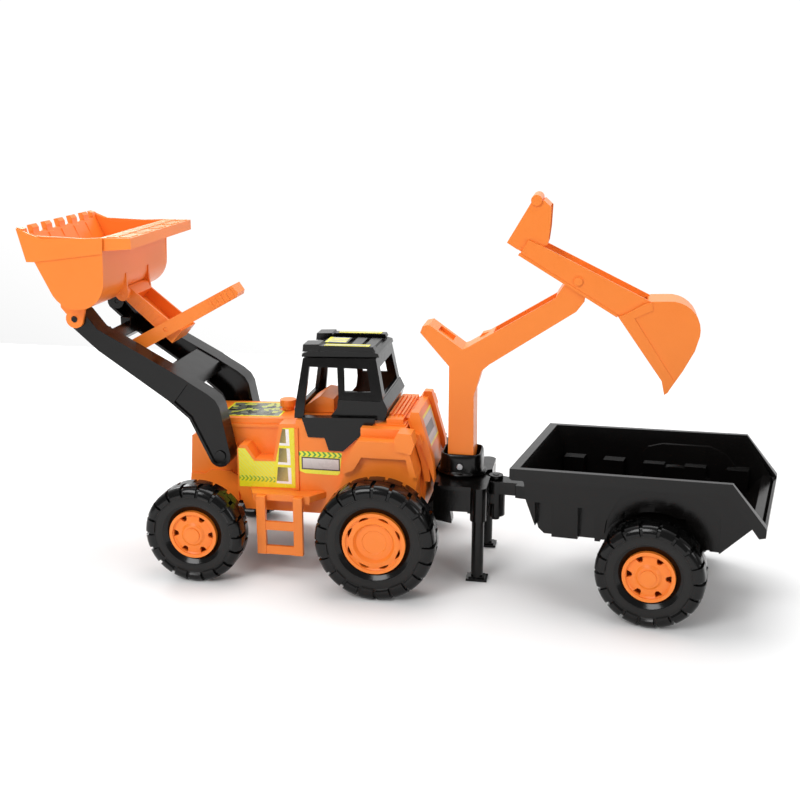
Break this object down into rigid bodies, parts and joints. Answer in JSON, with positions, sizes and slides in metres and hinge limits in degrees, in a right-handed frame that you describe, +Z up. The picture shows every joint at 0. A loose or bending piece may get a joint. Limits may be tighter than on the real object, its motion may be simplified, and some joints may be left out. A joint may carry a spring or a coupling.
{
  "type": "toy backhoe loader with trailer",
  "caption": "Large moulded toy tractor loader with a tilting front bucket, a rear digging arm on a turntable, stabiliser legs and a two-wheeled tipping-style trailer.",
  "frame": {"origin": "on the ground, at the middle of the outline of the toy as it stands, trailer turned about 11 degrees", "axes": "+X to the rear (towards the trailer), +Y to the tractor's right, +Z up"},
  "size_m": [0.9167, 0.3154, 0.4715],
  "materials": {
    "orange_plastic": "smooth injection-moulded orange plastic, satin",
    "black_plastic": "glossy moulded black plastic",
    "tyre": "blow-moulded glossy black tyre",
    "steel": "bright steel rod",
    "hood_label": null,
    "side_label": "printed label, lime and yellow with dark panels and chevrons",
    "stripe_label": "printed label, yellow with chevron stripes and a plain grey bar",
    "roof_label": "printed label, yellow with grey bars",
    "silver_label": "printed label, silver with a yellow border"
  },
  "bodies": {
    "tractor": {"body_shell": "orange_plastic", "underframe": "black_plastic", "rear_grille": "orange_plastic", "cab_frame": "black_plastic", "cab_roof": "black_plastic", "dashboard": "orange_plastic", "filler_cap": "orange_plastic", "ladder_left": "orange_plastic", "ladder_right": "orange_plastic", "front_axle": "steel", "rear_axle": "steel", "arm_pivot_pins": "steel", "backhoe_base": "black_plastic", "hitch_pin": "black_plastic", "hood_label": "hood_label", "side_label_left": "side_label", "side_label_right": "side_label", "name_label_left": "stripe_label", "name_label_right": "stripe_label", "roof_labels": "roof_label", "rear_label": "silver_label"},
    "front_wheel_left": {"front_tyre_left": "tyre", "front_rim_left": "orange_plastic"},
    "front_wheel_right": {"front_tyre_right": "tyre", "front_rim_right": "orange_plastic"},
    "rear_wheel_left": {"rear_tyre_left": "tyre", "rear_rim_left": "orange_plastic"},
    "rear_wheel_right": {"rear_tyre_right": "tyre", "rear_rim_right": "orange_plastic"},
    "loader_arms": {"loader_arm_left": "black_plastic", "loader_arm_right": "black_plastic", "arm_cross_front": "black_plastic", "arm_cross_rear": "black_plastic", "bucket_pins": "black_plastic", "lever_pin": "steel"},
    "bucket": {"loader_bucket": "orange_plastic", "link_pin_front": "orange_plastic"},
    "link": {"tilt_link": "orange_plastic"},
    "lever": {"tilt_lever": "orange_plastic", "link_pin_rear": "orange_plastic"},
    "outrigger_left": {"outrigger_left": "black_plastic"},
    "outrigger_right": {"outrigger_right": "black_plastic"},
    "slew_post": {"turret": "black_plastic", "turret_screw": "steel", "boom_pin": "steel"},
    "boom": {"boom": "orange_plastic"},
    "stick": {"stick": "orange_plastic", "stick_pin": "orange_plastic", "digger_bucket": "orange_plastic", "stick_handle": "orange_plastic", "stick_grip": "orange_plastic"},
    "trailer": {"drawbar": "black_plastic", "trailer_bed": "black_plastic", "trailer_axle": "steel"},
    "trailer_wheel_left": {"trailer_tyre_left": "tyre", "trailer_rim_left": "orange_plastic"},
    "trailer_wheel_right": {"trailer_tyre_right": "tyre", "trailer_rim_right": "orange_plastic"}
  },
  "joints": [
    {"name": "loader_lift", "type": "hinge", "parent": "tractor", "child": "loader_arms", "pos_m": [-0.2264, 0.0127, 0.147], "axis": [0, 1, 0], "range_deg": [-72, 6]},
    {"name": "bucket_tilt", "type": "hinge", "parent": "loader_arms", "child": "bucket", "pos_m": [-0.4044, 0.0127, 0.316], "axis": [0, 1, 0], "range_deg": [-50, 10]},
    {"name": "lever_swing", "type": "hinge", "parent": "loader_arms", "child": "lever", "pos_m": [-0.3514, 0.0127, 0.272], "axis": [0, 1, 0], "range_deg": [-50, 10]},
    {"name": "link_swing", "type": "hinge", "parent": "lever", "child": "link", "pos_m": [-0.3054, 0.0127, 0.2975], "axis": [0, 1, 0], "range_deg": [-10, 50]},
    {"name": "backhoe_slew", "type": "hinge", "parent": "tractor", "child": "slew_post", "pos_m": [0.0696, 0.0127, 0.122], "axis": [0, 0, 1], "range_deg": [-60, 60]},
    {"name": "boom_tilt", "type": "hinge", "parent": "slew_post", "child": "boom", "pos_m": [0.0696, 0.0127, 0.136], "axis": [0, 1, 0], "range_deg": [-10, 12]},
    {"name": "stick_tilt", "type": "hinge", "parent": "boom", "child": "stick", "pos_m": [0.2056, 0.0127, 0.372], "axis": [0, 1, 0], "range_deg": [-30, 18]},
    {"name": "outrigger_left_lift", "type": "slide", "parent": "tractor", "child": "outrigger_left", "axis": [0, 0, 1], "range_m": [0, 0.026]},
    {"name": "outrigger_right_lift", "type": "slide", "parent": "tractor", "child": "outrigger_right", "axis": [0, 0, 1], "range_m": [0, 0.026]},
    {"name": "trailer_turn", "type": "hinge", "parent": "tractor", "child": "trailer", "pos_m": [0.1126, 0.0127, 0.105], "axis": [0, 0, 1], "range_deg": [-24, 45]},
    {"name": "front_left_spin", "type": "hinge", "parent": "tractor", "child": "front_wheel_left", "pos_m": [-0.2464, -0.0983, 0.062], "axis": [0, 1, 0], "continuous": true},
    {"name": "rear_left_spin", "type": "hinge", "parent": "tractor", "child": "rear_wheel_left", "pos_m": [-0.0174, -0.1093, 0.0725], "axis": [0, 1, 0], "continuous": true},
    {"name": "trailer_left_spin", "type": "hinge", "parent": "trailer", "child": "trailer_wheel_left", "pos_m": [0.3029, -0.12789, 0.062], "axis": [0.1848, 0.9828, 0], "continuous": true},
    {"name": "front_right_spin", "type": "hinge", "parent": "tractor", "child": "front_wheel_right", "pos_m": [-0.2464, 0.1237, 0.062], "axis": [0, 1, 0], "continuous": true},
    {"name": "rear_right_spin", "type": "hinge", "parent": "tractor", "child": "rear_wheel_right", "pos_m": [-0.0174, 0.1347, 0.0725], "axis": [0, 1, 0], "continuous": true},
    {"name": "trailer_right_spin", "type": "hinge", "parent": "trailer", "child": "trailer_wheel_right", "pos_m": [0.34097, 0.07456, 0.062], "axis": [0.1848, 0.9828, 0], "continuous": true}
  ],
  "couplings": [
    {"joint": "lever_swing", "follows": "bucket_tilt", "ratio": 1},
    {"joint": "link_swing", "follows": "bucket_tilt", "ratio": -1}
  ]
}
